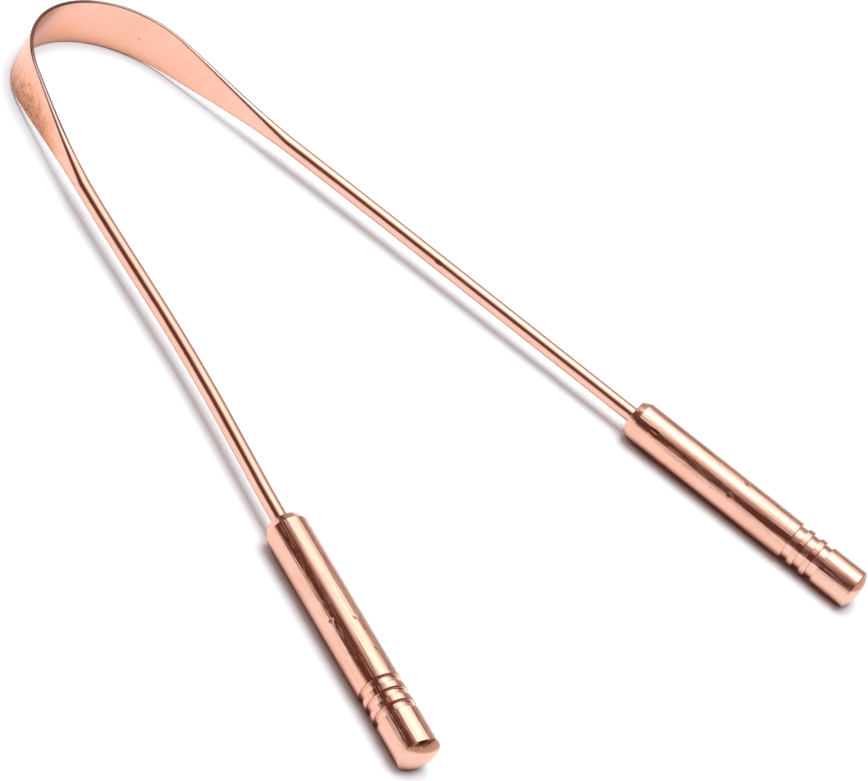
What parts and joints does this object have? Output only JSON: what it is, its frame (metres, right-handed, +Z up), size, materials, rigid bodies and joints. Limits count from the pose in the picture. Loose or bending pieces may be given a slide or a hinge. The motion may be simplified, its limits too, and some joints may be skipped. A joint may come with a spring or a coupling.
{
  "type": "tongue scraper",
  "caption": "U-shaped tongue scraper: a round rod pressed flat into an arched scraping blade, its springy legs ending in turned handles with grip grooves.",
  "frame": {"origin": "middle of the footprint, on the surface that the scraper lies on", "axes": "+Z up, +Y from the handles toward the blade, +X toward the right handle"},
  "size_m": [0.1078, 0.1436, 0.0084],
  "materials": {
    "bow_copper": "polished copper, finely brushed on the blade",
    "handle_copper": "polished copper with turning marks and small nicks"
  },
  "bodies": {
    "root": {"scraper_bow": "bow_copper", "left_handle": "handle_copper", "right_handle": "handle_copper"}
  },
  "joints": []
}
